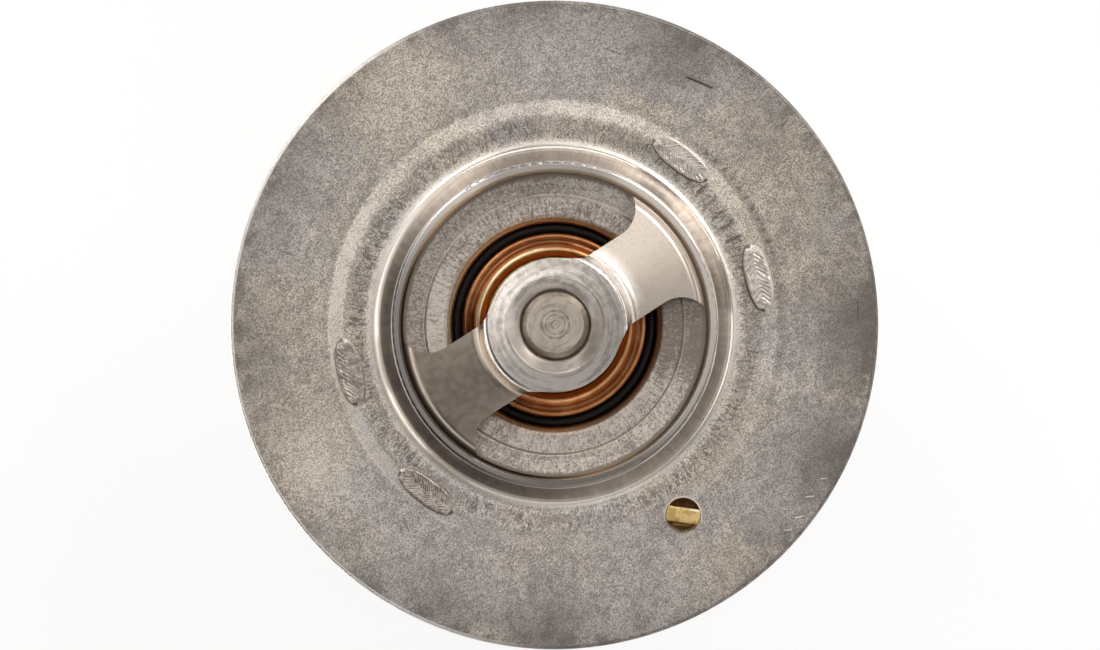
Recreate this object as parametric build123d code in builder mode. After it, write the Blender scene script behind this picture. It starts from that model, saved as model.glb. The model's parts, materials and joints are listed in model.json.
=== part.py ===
"""Engine thermostat insert: flange, bridge, staked cage, wax capsule with two valves, and vent pin.

The origin is the centre of the flange's underside. +Z points to the outlet side, and +X runs
along the bridge's arms.
"""

import os
from math import acos, atan2, cos, degrees, radians, sin, sqrt

from build123d import *

# Piston, in millimetres like everything below
piston_radius = 2.4
piston_shank_length = 23.5
piston_tip_chamfer = 0.6
piston_collar_overlap = 1.08
piston_collar_thickness = 1.1
piston_end_chamfer = 0.82
piston_end_recess = 0.2

# Wax capsule
capsule_radius = 8.0
capsule_wall = 0.8
capsule_length = 24.12
capsule_corner = 1.5
crimp_overhang = 1.5
crimp_outer_rise = 0.85
crimp_groove_inset = 0.85
crimp_groove_rise = 0.25
crimp_ridge_inset = 1.7
crimp_ridge_rise = 1.2
crimp_mouth_inset = 2.5
crimp_mouth_rise = 0.5
crimp_corner = 0.3
crimp_fold = 0.35
crimp_ridge_fold = 0.45
crimp_edge = 0.15
boot_flange_thickness = 0.65
boot_flange_fillet = 0.4
boot_wall = 0.85
boot_tip_fillet = 1.2
guide_flange_thickness = 0.88
guide_boss_wall = 0.9
guide_headroom = 0.9
guide_fillet = 0.5
guide_edge = 0.3
wiper_width = 1.1
wiper_thickness = 1.2
wiper_edge = 0.2
washer_thickness = 0.5
washer_recess = 0.3

# Main valve
valve_thickness = 0.8
valve_cup_depth = 3.28
valve_land_inset = 0.2
valve_step_width = 2.7
valve_step_slant = 0.25
valve_step_depth = 0.18
valve_neck_bend = 0.9
valve_floor_bend = 0.3
seat_width = 0.7
gasket_width = 0.9
gasket_height = 2.35
gasket_dome = 0.4
gasket_edge = 0.15

# Bridge
bridge_thickness = 0.9
seat_height = 3.4
rim_width = 0.9
dome_foot_inset = 0.22
dome_lean = 0.53
dome_rise = 1.9
arm_rise = 1.8
hub_radius = 7.35
hub_flare = 0.5
hub_rise = 2.2
hub_crown = 0.2
funnel_radius = 4.96
funnel_bore = 3.82
funnel_depth = 0.7
window_outer_radius = 15.6
window_hub_inset = 0.48
window_lobe_radius = 3.2
window_lobe_overrun = 0.65
arm_half_width = 4.15
arm_flare_bearing = 56.7
dome_foot_bend = 0.25
dome_top_bend = 1.1
arm_bend = 1.5
hub_bend = 0.55
funnel_bend = 0.4

# Flange
flange_radius = 33.5
flange_thickness = 1.2
lip_overlap = 0.5
lip_thickness = 0.43
lip_root = 0.25
collar_flare = 1.6
collar_wall = 0.85
collar_foot_fillet = 1.2
bead_offset = 0.9
bead_inner_slope = 2.25
bead_outer_slope = 1.65
bead_height = 0.22
bead_fillet = 1.8
bead_foot_fillet = 0.4
lip_fillet = 0.45
lip_edge = 0.12
neck_fillet = 0.8
edge_break = 0.3

# Cage and the tabs that stake it to the flange
cage_thickness = 1.2
cage_knee_depth = 2.4
cage_depth = 19.0
cage_spring_margin = 0.7
cage_base_bend = 0.6
cage_leg_margin = 0.6
cage_knee_bend = 4.0
cage_base_fillet = 0.8
cage_collar_bend = 1.6
cage_window_fillet = 3.0
cage_collar_length = 1.9
tab_angle = 19.8
tab_width = 5.6
tab_head_length = 7.0
tab_head_width = 2.4
tab_head_tip = 0.6
tab_head_rise = 0.35
tab_head_chamfer = 0.12

# Closing spring of the main valve
spring_wire = 2.0
spring_turns = 4

# Bypass valve, its stem, clip and spring
stem_radius = 1.9
stem_head_thickness = 0.8
stem_tail = 1.1
stem_chamfer = 0.4
bypass_thickness = 1.0
bypass_drop = 9.5
bypass_plate_radius = 6.6
bypass_dish = 2.5
bypass_dish_width = 2.0
bypass_seat_width = 2.4
bypass_rim_bend = 0.8
bypass_plate_bend = 1.8
clip_thickness = 0.6
clip_radius = 3.4
clip_groove_depth = 0.4
clip_mouth = 2.4
bypass_wire = 1.2
bypass_spring_radius = 4.2
bypass_turns = 2

# Vent pin and its countersunk hole
vent_offset = 0.52
vent_angle = -88.6
vent_radius = 1.55
vent_sink = 0.3
vent_blade_angle = -41.0
vent_blade_width = 1.6
vent_blade_rise = 0.3
vent_blade_root = 0.34
vent_blade_round = 0.25
vent_shank_radius = 0.8
vent_weight_radius = 2.4
vent_weight_thickness = 2.4
vent_weight_edge = 0.3
vent_weight_dome = 0.9
vent_travel = 1.9

# Clearances
fit_clearance = 0.05
slide_clearance = 0.08
part_clearance = 0.1
spring_clearance = 0.3
seat_gap = 0.02
cage_clearance = 0.35

# Radii that follow from the sizes above
piston_bore = piston_radius + fit_clearance
piston_end_radius = funnel_bore - part_clearance - fit_clearance
piston_collar_radius = funnel_bore + piston_collar_overlap
boot_radius = piston_bore + boot_wall
wiper_radius = piston_radius + wiper_width
guide_boss_radius = wiper_radius + guide_boss_wall
crimp_radius = capsule_radius + crimp_overhang
crimp_bore = crimp_radius - capsule_wall
valve_floor_radius = capsule_radius + part_clearance
valve_neck_radius = crimp_radius + gasket_width + 2 * fit_clearance
valve_step_radius = valve_neck_radius + valve_step_width
valve_land_radius = window_outer_radius - valve_land_inset
valve_radius = window_outer_radius + seat_width
rim_radius = window_outer_radius + rim_width
neck_radius = rim_radius + fit_clearance
lip_inner_radius = rim_radius - lip_overlap
dome_foot_radius = lip_inner_radius - dome_foot_inset
dome_top_radius = dome_foot_radius - dome_lean
window_hub_radius = hub_radius - window_hub_inset
collar_top_radius = neck_radius + lip_root
collar_foot_radius = collar_top_radius + collar_flare
bead_inner_radius = collar_foot_radius + bead_offset
bead_crest_radius = bead_inner_radius + bead_inner_slope
bead_outer_radius = bead_crest_radius + bead_outer_slope
spring_radius = valve_neck_radius + valve_thickness + spring_clearance + spring_wire / 2
spring_reach = spring_radius + spring_wire / 2
cage_leg_radius = bead_crest_radius - cage_thickness / 2
cage_base_rim = spring_reach + cage_spring_margin
cage_base_radius = cage_base_rim + cage_base_bend
cage_bore = capsule_radius + cage_clearance
cage_leg_half_angle = tab_angle + degrees(
    atan2(tab_head_length / 2 + cage_leg_margin, bead_crest_radius)
)
stem_head_radius = bypass_spring_radius - bypass_wire / 2 - spring_clearance
wax_radius = capsule_radius - capsule_wall - fit_clearance
clip_groove_radius = stem_radius - clip_groove_depth
bypass_slope_radius = bypass_plate_radius + bypass_dish_width
bypass_radius = bypass_slope_radius + bypass_seat_width
vent_circle = bead_outer_radius + vent_offset
vent_sink_radius = vent_radius + vent_sink
vent_blade_tip = vent_sink_radius - part_clearance

# Heights that follow from the sizes above
rim_top = seat_height + bridge_thickness
dome_top = rim_top + dome_rise
arm_top = dome_top + arm_rise
hub_top = arm_top + hub_rise
collar_top = rim_top + lip_thickness
bead_top = flange_thickness + bead_height
valve_land = seat_height - seat_gap
valve_floor = valve_land - valve_cup_depth
capsule_flange = valve_floor + seat_gap
capsule_bottom = capsule_flange - capsule_length
boot_flange_bottom = capsule_flange + capsule_wall
guide_flange_bottom = boot_flange_bottom + boot_flange_thickness
wax_bottom = capsule_bottom + capsule_wall + fit_clearance
crimp_underside = guide_flange_bottom + guide_flange_thickness
funnel_tilt = atan2(funnel_depth, funnel_radius - funnel_bore)
funnel_underside = hub_top - funnel_depth - bridge_thickness * cos(funnel_tilt)
piston_collar_top = funnel_underside - seat_gap
piston_collar_bottom = piston_collar_top - piston_collar_thickness
piston_end = hub_top - piston_end_recess
piston_tip = piston_collar_bottom - piston_shank_length
boot_inside = piston_tip - part_clearance
boot_outside = boot_inside - boot_wall
guide_boss_top = piston_collar_bottom - guide_headroom
wiper_bottom = guide_boss_top - washer_recess - washer_thickness - wiper_thickness
cage_base = -cage_depth
spring_top = valve_land - valve_thickness - seat_gap
bypass_plate = capsule_bottom - bypass_drop
bypass_underside = bypass_plate - bypass_thickness
clip_bottom = bypass_underside - seat_gap - clip_thickness
vent_shoulder = flange_thickness - part_clearance + seat_gap
vent_blade_bottom = flange_thickness - vent_blade_root

vent_x = vent_circle * cos(radians(vent_angle))
vent_y = vent_circle * sin(radians(vent_angle))
vent_plane = Plane(origin=(vent_x, vent_y, 0), x_dir=(1, 0, 0), z_dir=(0, -1, 0))
vent_axis = Axis((vent_x, vent_y, 0), (0, 0, 1))
tab_bearings = [side + turn for side in (0, 180) for turn in (-tab_angle, tab_angle)]

os.makedirs("parts", exist_ok=True)


# Flange: one stamping with a raised bead, a drawn collar and a lip turned in over the bridge
with BuildPart() as flange:
    with BuildSketch(Plane.XZ):
        with BuildLine():
            FilletPolyline(
                (flange_radius, 0),
                (flange_radius, flange_thickness),
                (bead_outer_radius, flange_thickness),
                (bead_crest_radius, bead_top),
                (bead_inner_radius, flange_thickness),
                (collar_foot_radius, flange_thickness),
                (collar_top_radius, collar_top),
                (lip_inner_radius, collar_top),
                (lip_inner_radius, rim_top),
                (neck_radius, rim_top),
                (neck_radius, seat_height),
                (collar_foot_radius - collar_wall, 0),
                (bead_inner_radius, 0),
                (bead_crest_radius, bead_height),
                (bead_outer_radius, 0),
                radius=[
                    0,
                    edge_break,
                    bead_fillet,
                    bead_fillet,
                    bead_foot_fillet,
                    collar_foot_fillet,
                    lip_fillet,
                    lip_edge,
                    0,
                    0,
                    neck_fillet,
                    bead_foot_fillet,
                    bead_fillet,
                    bead_fillet,
                    bead_fillet,
                ],
                close=True,
            )
        make_face()
    revolve(axis=Axis.Z)
    with BuildSketch(Plane.XY):
        for bearing in tab_bearings:
            with PolarLocations(bead_crest_radius, 1, start_angle=bearing):
                Rectangle(cage_thickness + 2 * part_clearance, tab_width + 2 * part_clearance)
    extrude(amount=bead_top, mode=Mode.SUBTRACT)
    with Locations((vent_x, vent_y, flange_thickness)):
        CounterSinkHole(vent_radius, vent_sink_radius, counter_sink_angle=90)

flange.part.label = "flange"
export_step(flange.part, "parts/flange.step")


# Bridge: a domed stamping with two windows, leaving two arms between its rim and its hub
arm_flare_reach = (
    window_hub_radius - arm_half_width * sin(radians(arm_flare_bearing))
) / cos(radians(arm_flare_bearing))
lobe_height = arm_half_width + window_lobe_radius
lobe_distance = window_outer_radius - window_lobe_radius + window_lobe_overrun
lobe_reach = sqrt(lobe_distance**2 - lobe_height**2)
lobe_spread = acos(
    (lobe_distance**2 + window_outer_radius**2 - window_lobe_radius**2)
    / (2 * lobe_distance * window_outer_radius)
)
window_corner_bearing = atan2(lobe_height, lobe_reach) - lobe_spread
lobe_end_bearing = degrees(
    atan2(
        window_outer_radius * sin(window_corner_bearing) - lobe_height,
        window_outer_radius * cos(window_corner_bearing) - lobe_reach,
    )
)

with BuildPart() as bridge:
    with BuildSketch(Plane.XZ):
        with BuildLine():
            FilletPolyline(
                (rim_radius, rim_top),
                (dome_foot_radius, rim_top),
                (dome_top_radius, dome_top),
                (hub_radius + hub_flare, arm_top),
                (hub_radius, hub_top - hub_crown),
                (funnel_radius, hub_top),
                (funnel_bore, hub_top - funnel_depth),
                radius=[dome_foot_bend, dome_top_bend, arm_bend, hub_bend, funnel_bend],
            )
            offset(amount=bridge_thickness, side=Side.LEFT)
        make_face()
    revolve(axis=Axis.Z)
    with BuildSketch(Plane.XY):
        with BuildLine():
            hub_arc = CenterArc(
                (0, 0), window_hub_radius, arm_flare_bearing, 90 - arm_flare_bearing
            )
            Polyline(
                hub_arc @ 0,
                (arm_flare_reach, arm_half_width),
                (lobe_reach, arm_half_width),
            )
            CenterArc(
                (lobe_reach, lobe_height), window_lobe_radius, -90, 90 + lobe_end_bearing
            )
            CenterArc(
                (0, 0),
                window_outer_radius,
                degrees(window_corner_bearing),
                90 - degrees(window_corner_bearing),
            )
            mirror(about=Plane.YZ)
        make_face()
        mirror(about=Plane.XZ)
    extrude(amount=hub_top, mode=Mode.SUBTRACT)

bridge.part.label = "bridge"
export_step(bridge.part, "parts/bridge.step")


# Cage: a drawn cone cut to two legs, with a collar round the capsule and tabs through the flange
with BuildSketch() as tab_head:
    head_arc = (tab_head_length**2 + tab_head_width**2) / (4 * tab_head_width)
    with Locations((head_arc - tab_head_width / 2, 0)):
        Circle(head_arc)
    with Locations((tab_head_width / 2 - head_arc, 0)):
        Circle(head_arc, mode=Mode.INTERSECT)
    fillet(tab_head.vertices(), radius=tab_head_tip)

with BuildPart() as lower_frame:
    with BuildSketch(Plane.XZ):
        with BuildLine():
            FilletPolyline(
                (cage_leg_radius, 0),
                (cage_leg_radius, -cage_knee_depth),
                (cage_base_radius, cage_base),
                (cage_bore, cage_base),
                (cage_bore, cage_base - cage_thickness - cage_collar_length),
                radius=[cage_knee_bend, cage_base_fillet, cage_collar_bend],
            )
            offset(amount=cage_thickness, side=Side.LEFT)
        make_face()
    revolve(axis=Axis.Z)
    with BuildSketch(Plane.XY) as cage_window:
        with BuildLine():
            inner_arc = CenterArc(
                (0, 0), cage_base_rim, cage_leg_half_angle, 180 - 2 * cage_leg_half_angle
            )
            outer_arc = CenterArc(
                (0, 0), flange_radius, cage_leg_half_angle, 180 - 2 * cage_leg_half_angle
            )
            Line(inner_arc @ 0, outer_arc @ 0)
            Line(inner_arc @ 1, outer_arc @ 1)
        make_face()
        fillet(
            cage_window.vertices().group_by(SortBy.DISTANCE)[0],
            radius=cage_window_fillet,
        )
        mirror(about=Plane.XZ)
    extrude(amount=cage_base - cage_thickness, mode=Mode.SUBTRACT)
    with BuildSketch(Plane.XY):
        for bearing in tab_bearings:
            with PolarLocations(bead_crest_radius, 1, start_angle=bearing):
                Rectangle(cage_thickness, tab_width)
    extrude(amount=flange_thickness)
    with BuildSketch(Plane.XY.offset(flange_thickness)):
        for bearing in tab_bearings:
            with PolarLocations(bead_crest_radius, 1, start_angle=bearing):
                add(tab_head.sketch)
    extrude(amount=bead_height + tab_head_rise)
    chamfer(lower_frame.faces().group_by(Axis.Z)[-1].edges(), tab_head_chamfer)
    add(flange.part, mode=Mode.SUBTRACT)

lower_frame.part.label = "lower_frame"
export_step(lower_frame.part, "parts/lower_frame.step")


# Main valve: a disc whose cup holds the capsule's rim, its face coined down in a ring to the land
with BuildPart() as main_valve:
    with BuildSketch(Plane.XZ):
        with BuildLine():
            FilletPolyline(
                (valve_radius, valve_land),
                (valve_neck_radius, valve_land),
                (valve_neck_radius, valve_floor),
                (valve_floor_radius, valve_floor),
                radius=[valve_neck_bend, valve_floor_bend],
            )
            offset(amount=valve_thickness, side=Side.LEFT)
        make_face()
    revolve(axis=Axis.Z)
    with BuildSketch(Plane.XZ):
        with BuildLine():
            Polyline(
                (valve_step_radius, valve_land),
                (valve_step_radius + valve_step_slant, valve_land - valve_step_depth),
                (valve_land_radius, valve_land),
                close=True,
            )
        make_face()
    revolve(axis=Axis.Z, mode=Mode.SUBTRACT)

main_valve.part.label = "main_valve"
export_step(main_valve.part, "parts/main_valve.step")


# Gasket: a moulded ring between the capsule's rim and the valve's cup
with BuildPart() as valve_gasket:
    with BuildSketch(Plane.XZ):
        with BuildLine():
            FilletPolyline(
                (crimp_radius + fit_clearance, capsule_flange),
                (valve_neck_radius - fit_clearance, capsule_flange + gasket_edge),
                (valve_neck_radius - fit_clearance, capsule_flange + gasket_height),
                (crimp_radius + fit_clearance, capsule_flange + gasket_height),
                radius=[gasket_edge, gasket_edge, gasket_dome, gasket_dome],
                close=True,
            )
        make_face()
    revolve(axis=Axis.Z)

valve_gasket.part.label = "valve_gasket"
export_step(valve_gasket.part, "parts/valve_gasket.step")


# Wax cup: drawn cup whose wide rim is rolled in over the guide, leaving two ridges
with BuildPart() as wax_cup:
    with BuildSketch(Plane.XZ):
        with BuildLine():
            FilletPolyline(
                (0, capsule_bottom),
                (capsule_radius, capsule_bottom),
                (capsule_radius, capsule_flange),
                (crimp_radius, capsule_flange),
                (crimp_radius, crimp_underside + crimp_outer_rise),
                (crimp_radius - crimp_groove_inset, crimp_underside + crimp_groove_rise),
                (crimp_radius - crimp_ridge_inset, crimp_underside + crimp_ridge_rise),
                (crimp_radius - crimp_mouth_inset, crimp_underside + crimp_mouth_rise),
                (crimp_radius - crimp_mouth_inset, crimp_underside),
                (crimp_bore, crimp_underside),
                (crimp_bore, boot_flange_bottom),
                (capsule_radius - capsule_wall, boot_flange_bottom),
                (capsule_radius - capsule_wall, capsule_bottom + capsule_wall),
                (0, capsule_bottom + capsule_wall),
                radius=[
                    0,
                    capsule_corner,
                    0,
                    crimp_corner,
                    crimp_fold,
                    crimp_fold,
                    crimp_ridge_fold,
                    crimp_edge,
                    0,
                    0,
                    0,
                    0,
                    capsule_corner - capsule_wall,
                    0,
                ],
                close=True,
            )
        make_face()
    revolve(axis=Axis.Z)

wax_cup.part.label = "wax_cup"
export_step(wax_cup.part, "parts/wax_cup.step")


# Boot: rubber sleeve round the piston, its flange clamped between the cup and the guide
with BuildPart() as boot:
    with BuildSketch(Plane.XZ):
        with BuildLine():
            FilletPolyline(
                (piston_bore, guide_flange_bottom),
                (crimp_bore - fit_clearance, guide_flange_bottom),
                (crimp_bore - fit_clearance, boot_flange_bottom),
                (boot_radius, boot_flange_bottom),
                (boot_radius, boot_outside),
                (0, boot_outside),
                (0, boot_inside),
                (piston_bore, boot_inside),
                radius=[0, 0, 0, boot_flange_fillet, boot_tip_fillet, 0, 0, 0],
                close=True,
            )
        make_face()
    revolve(axis=Axis.Z)

boot.part.label = "boot"
export_step(boot.part, "parts/boot.step")


# Wax: fills the cup round the boot
with BuildPart() as wax_charge:
    with BuildSketch(Plane.XZ):
        with BuildLine():
            FilletPolyline(
                (boot_radius + fit_clearance, boot_flange_bottom - fit_clearance),
                (wax_radius, boot_flange_bottom - fit_clearance),
                (wax_radius, wax_bottom),
                (0, wax_bottom),
                (0, boot_outside - fit_clearance),
                (boot_radius + fit_clearance, boot_outside - fit_clearance),
                radius=[boot_flange_fillet, 0, capsule_corner - capsule_wall, 0, 0, 0],
                close=True,
            )
        make_face()
    revolve(axis=Axis.Z)

wax_charge.part.label = "wax_charge"
export_step(wax_charge.part, "parts/wax_charge.step")


# Guide: brass flange under the rolled rim, with a boss that guides the piston
with BuildPart() as guide:
    with BuildSketch(Plane.XZ):
        with BuildLine():
            FilletPolyline(
                (piston_bore, guide_flange_bottom),
                (crimp_bore - fit_clearance, guide_flange_bottom),
                (crimp_bore - fit_clearance, crimp_underside),
                (guide_boss_radius, crimp_underside),
                (guide_boss_radius, guide_boss_top),
                (wiper_radius, guide_boss_top),
                (wiper_radius, wiper_bottom),
                (piston_bore, wiper_bottom),
                radius=[0, 0, 0, guide_fillet, guide_edge, 0, 0, 0],
                close=True,
            )
        make_face()
    revolve(axis=Axis.Z)

guide.part.label = "guide"
export_step(guide.part, "parts/guide.step")


# Wiper seal: rubber ring in the guide's mouth
with BuildPart() as wiper_seal:
    with BuildSketch(Plane.XZ):
        with BuildLine():
            FilletPolyline(
                (piston_radius + seat_gap, wiper_bottom),
                (wiper_radius - seat_gap, wiper_bottom),
                (wiper_radius - seat_gap, wiper_bottom + wiper_thickness),
                (piston_radius + seat_gap, wiper_bottom + wiper_thickness),
                radius=wiper_edge,
                close=True,
            )
        make_face()
    revolve(axis=Axis.Z)

wiper_seal.part.label = "wiper_seal"
export_step(wiper_seal.part, "parts/wiper_seal.step")


# Seal washer: pressed into the guide's mouth above the wiper seal
with BuildPart() as seal_washer:
    with BuildSketch(Plane.XY.offset(wiper_bottom + wiper_thickness)):
        Circle(wiper_radius - seat_gap)
        Circle(piston_radius + part_clearance, mode=Mode.SUBTRACT)
    extrude(amount=washer_thickness)

seal_washer.part.label = "seal_washer"
export_step(seal_washer.part, "parts/seal_washer.step")


# Piston: turned pin, its collar seated under the funnel and its chamfered end in the funnel's bore
with BuildPart() as piston:
    with BuildSketch(Plane.XZ):
        with BuildLine():
            Polyline(
                (0, piston_end),
                (piston_end_radius - piston_end_chamfer, piston_end),
                (piston_end_radius, piston_end - piston_end_chamfer),
                (piston_end_radius, piston_collar_top),
                (piston_collar_radius, piston_collar_top),
                (piston_collar_radius, piston_collar_bottom),
                (piston_radius, piston_collar_bottom),
                (piston_radius, piston_tip + piston_tip_chamfer),
                (piston_radius - piston_tip_chamfer, piston_tip),
                (0, piston_tip),
                close=True,
            )
        make_face()
    revolve(axis=Axis.Z)

piston.part.label = "piston"
export_step(piston.part, "parts/piston.step")


def coil(base, top, radius, wire, turns):
    """Compression spring with one closed turn at each end, both ends ground flat."""
    closed_pitch = wire + fit_clearance
    tip_sink = 0.15 * wire
    first = base + tip_sink
    last = top - tip_sink - closed_pitch
    open_pitch = (last - first - closed_pitch) / turns
    with BuildPart() as spring:
        with BuildLine() as path:
            lower = Helix(closed_pitch, closed_pitch, radius, center=(0, 0, first))
            Helix(open_pitch, last - first - closed_pitch, radius, center=lower @ 1 - lower @ 0
                  + Vector(0, 0, first))
            Helix(closed_pitch, closed_pitch, radius, center=(0, 0, last))
        with BuildSketch(Plane(origin=lower @ 0, z_dir=lower % 0)):
            Circle(wire / 2)
        sweep(path=path.wire(), is_frenet=True)
        with BuildSketch(Plane.XY.offset(base)):
            Circle(radius + wire)
        extrude(amount=top - base, mode=Mode.INTERSECT)
    return spring.part


# Main spring: from the cage's base up to the valve disc
with BuildPart() as main_spring:
    add(coil(cage_base, spring_top, spring_radius, spring_wire, spring_turns))

main_spring.part.label = "main_spring"
export_step(main_spring.part, "parts/main_spring.step")


# Bypass stem: riveted to the cup's bottom, with a groove for the clip near its end
with BuildPart() as bypass_stem:
    with BuildSketch(Plane.XZ):
        with BuildLine():
            Polyline(
                (0, capsule_bottom),
                (stem_head_radius, capsule_bottom),
                (stem_head_radius, capsule_bottom - stem_head_thickness),
                (stem_radius, capsule_bottom - stem_head_thickness),
                (stem_radius, bypass_underside - seat_gap),
                (clip_groove_radius, bypass_underside - seat_gap),
                (clip_groove_radius, clip_bottom),
                (stem_radius, clip_bottom),
                (stem_radius, clip_bottom - stem_tail + stem_chamfer),
                (stem_radius - stem_chamfer, clip_bottom - stem_tail),
                (0, clip_bottom - stem_tail),
                close=True,
            )
        make_face()
    revolve(axis=Axis.Z)

bypass_stem.part.label = "bypass_stem"
export_step(bypass_stem.part, "parts/bypass_stem.step")


# Bypass valve: dished disc that slides on the stem and closes its port with the flat rim
with BuildPart() as bypass_valve:
    with BuildSketch(Plane.XZ):
        with BuildLine():
            FilletPolyline(
                (bypass_radius, bypass_plate - bypass_dish),
                (bypass_slope_radius, bypass_plate - bypass_dish),
                (bypass_plate_radius, bypass_plate),
                (stem_radius + slide_clearance, bypass_plate),
                radius=[bypass_rim_bend, bypass_plate_bend],
            )
            offset(amount=bypass_thickness, side=Side.LEFT)
        make_face()
    revolve(axis=Axis.Z)

bypass_valve.part.label = "bypass_valve"
export_step(bypass_valve.part, "parts/bypass_valve.step")


# Bypass clip: open retaining ring in the stem's groove
with BuildPart() as bypass_clip:
    with BuildSketch(Plane.XY.offset(clip_bottom)):
        Circle(clip_radius)
        Circle(clip_groove_radius, mode=Mode.SUBTRACT)
        with Locations((clip_radius / 2, 0)):
            Rectangle(clip_radius, clip_mouth, mode=Mode.SUBTRACT)
    extrude(amount=clip_thickness)

bypass_clip.part.label = "bypass_clip"
export_step(bypass_clip.part, "parts/bypass_clip.step")


# Bypass spring: from the cup's bottom down to the bypass valve
with BuildPart() as bypass_spring:
    add(
        coil(bypass_plate, capsule_bottom, bypass_spring_radius, bypass_wire, bypass_turns)
    )

bypass_spring.part.label = "bypass_spring"
export_step(bypass_spring.part, "parts/bypass_spring.step")


# Vent pin: flattened blade in the countersink, shank through the hole, weight below
with BuildPart() as jiggle_pin:
    with BuildSketch(vent_plane):
        with BuildLine():
            Polyline(
                (0, vent_blade_bottom),
                (vent_blade_tip - (vent_shoulder - vent_blade_bottom), vent_blade_bottom),
                (vent_blade_tip, vent_shoulder),
                (vent_blade_tip, flange_thickness + vent_blade_rise),
                (0, flange_thickness + vent_blade_rise),
                close=True,
            )
        make_face()
    revolve(axis=vent_axis)
    with BuildSketch(Plane.XY.offset(vent_blade_bottom)):
        with Locations(Location((vent_x, vent_y), vent_blade_angle)):
            Rectangle(2 * vent_blade_tip, vent_blade_width)
    extrude(amount=vent_blade_root + vent_blade_rise, mode=Mode.INTERSECT)
    fillet(
        jiggle_pin.faces().sort_by(Axis.Z)[-1].edges().filter_by(GeomType.LINE),
        radius=vent_blade_round,
    )
    with BuildSketch(vent_plane):
        with BuildLine():
            FilletPolyline(
                (0, vent_blade_bottom),
                (vent_shank_radius, vent_blade_bottom),
                (vent_shank_radius, -vent_travel),
                (vent_weight_radius, -vent_travel),
                (vent_weight_radius, -vent_travel - vent_weight_thickness),
                (0, -vent_travel - vent_weight_thickness),
                radius=[0, 0, 0, vent_weight_edge, vent_weight_dome, 0],
                close=True,
            )
        make_face()
    revolve(axis=vent_axis)

jiggle_pin.part.label = "jiggle_pin"
export_step(jiggle_pin.part, "parts/jiggle_pin.step")
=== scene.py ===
import json
from math import cos, pi, radians, sin

import bpy
from mathutils import Matrix, Vector


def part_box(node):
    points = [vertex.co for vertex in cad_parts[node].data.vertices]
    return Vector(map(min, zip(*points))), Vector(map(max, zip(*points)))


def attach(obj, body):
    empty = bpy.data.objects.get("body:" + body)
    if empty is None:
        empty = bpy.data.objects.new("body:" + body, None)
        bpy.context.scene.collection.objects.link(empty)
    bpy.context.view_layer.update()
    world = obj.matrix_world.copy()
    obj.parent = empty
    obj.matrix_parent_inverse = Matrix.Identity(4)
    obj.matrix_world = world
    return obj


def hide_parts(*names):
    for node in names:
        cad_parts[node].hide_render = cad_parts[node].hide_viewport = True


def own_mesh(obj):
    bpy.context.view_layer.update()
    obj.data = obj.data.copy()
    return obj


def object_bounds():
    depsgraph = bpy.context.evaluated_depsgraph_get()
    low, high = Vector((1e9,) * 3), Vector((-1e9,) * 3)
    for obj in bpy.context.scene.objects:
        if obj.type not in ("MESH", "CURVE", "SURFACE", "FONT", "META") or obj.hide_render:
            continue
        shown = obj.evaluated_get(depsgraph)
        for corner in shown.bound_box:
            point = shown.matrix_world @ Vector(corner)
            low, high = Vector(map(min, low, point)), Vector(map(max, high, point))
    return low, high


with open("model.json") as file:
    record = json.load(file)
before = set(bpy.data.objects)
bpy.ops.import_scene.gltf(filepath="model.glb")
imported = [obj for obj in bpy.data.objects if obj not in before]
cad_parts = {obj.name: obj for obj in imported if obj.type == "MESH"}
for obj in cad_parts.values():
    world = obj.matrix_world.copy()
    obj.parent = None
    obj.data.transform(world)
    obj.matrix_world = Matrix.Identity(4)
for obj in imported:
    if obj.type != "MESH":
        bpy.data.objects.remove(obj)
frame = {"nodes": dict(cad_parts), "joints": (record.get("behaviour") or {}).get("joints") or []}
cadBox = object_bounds()
nodes = frame["nodes"]
mm = 0.001
print("frame loaded:", len(nodes), "nodes")


class Wire:
    # one output socket that plain arithmetic works on
    def __init__(self, tree, socket):
        self.tree = tree
        self.socket = socket

    def __add__(self, other):
        return self.tree.maths("ADD", self, other)

    def __radd__(self, other):
        return self.tree.maths("ADD", other, self)

    def __sub__(self, other):
        return self.tree.maths("SUBTRACT", self, other)

    def __rsub__(self, other):
        return self.tree.maths("SUBTRACT", other, self)

    def __mul__(self, other):
        return self.tree.maths("MULTIPLY", self, other)

    def __rmul__(self, other):
        return self.tree.maths("MULTIPLY", other, self)

    def __truediv__(self, other):
        return self.tree.maths("DIVIDE", self, other)

    def __pow__(self, other):
        return self.tree.maths("POWER", self, other)

    def __gt__(self, other):
        return self.tree.maths("GREATER_THAN", self, other)

    def __lt__(self, other):
        return self.tree.maths("LESS_THAN", self, other)


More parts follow.
